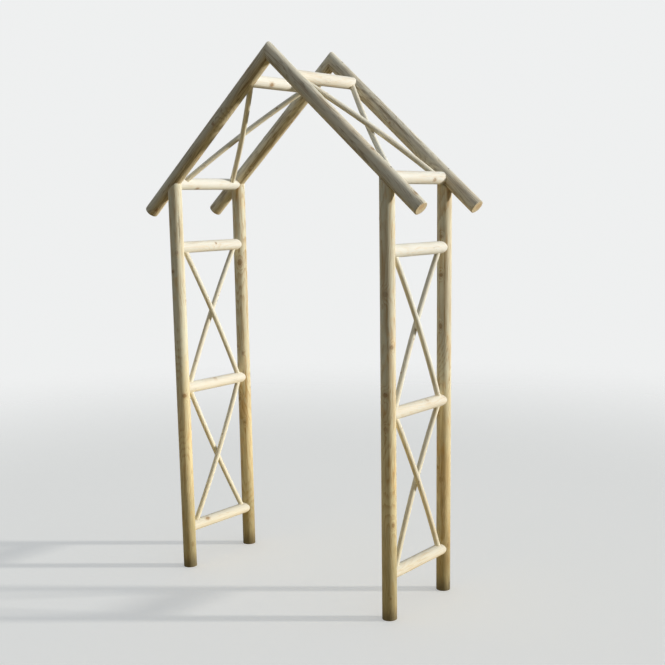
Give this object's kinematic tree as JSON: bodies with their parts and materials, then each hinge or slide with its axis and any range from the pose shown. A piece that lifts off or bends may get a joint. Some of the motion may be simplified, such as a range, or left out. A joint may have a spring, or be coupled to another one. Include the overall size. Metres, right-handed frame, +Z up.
{
  "type": "garden arch",
  "caption": "Rustic walk-through garden arch of round pale softwood poles, with a pitched open roof, ladder-like sides and thin crossed braces.",
  "frame": {"origin": "on the ground, at the middle of the passage and half way along it", "axes": "+X to the right across the passage, +Y to the rear along the passage, +Z up"},
  "size_m": [1.5646, 0.505, 2.4446],
  "materials": {
    "post_wood": "bare machine-rounded softwood, greyer and dirtier near the ground",
    "rafter_wood": "bare machine-rounded softwood, weathered on top",
    "rail_wood": "bare machine-rounded softwood, matt",
    "brace_wood": "bare thin softwood rod, matt"
  },
  "bodies": {
    "root": {"post_front_left": "post_wood", "rafter_front_left": "rafter_wood", "post_rear_left": "post_wood", "rafter_rear_left": "rafter_wood", "rail_bottom_left": "rail_wood", "rail_middle_left": "rail_wood", "rail_upper_left": "rail_wood", "rail_eaves_left": "rail_wood", "rail_ridge_left": "rail_wood", "brace_lower_left_rising_front": "brace_wood", "brace_lower_left_rising_rear": "brace_wood", "brace_upper_left_rising_front": "brace_wood", "brace_upper_left_rising_rear": "brace_wood", "brace_roof_left_rising_front": "brace_wood", "brace_roof_left_rising_rear": "brace_wood", "post_front_right": "post_wood", "rafter_front_right": "rafter_wood", "post_rear_right": "post_wood", "rafter_rear_right": "rafter_wood", "rail_bottom_right": "rail_wood", "rail_middle_right": "rail_wood", "rail_upper_right": "rail_wood", "rail_eaves_right": "rail_wood", "rail_ridge_right": "rail_wood", "brace_lower_right_rising_front": "brace_wood", "brace_lower_right_rising_rear": "brace_wood", "brace_upper_right_rising_front": "brace_wood", "brace_upper_right_rising_rear": "brace_wood", "brace_roof_right_rising_front": "brace_wood", "brace_roof_right_rising_rear": "brace_wood"}
  },
  "joints": []
}
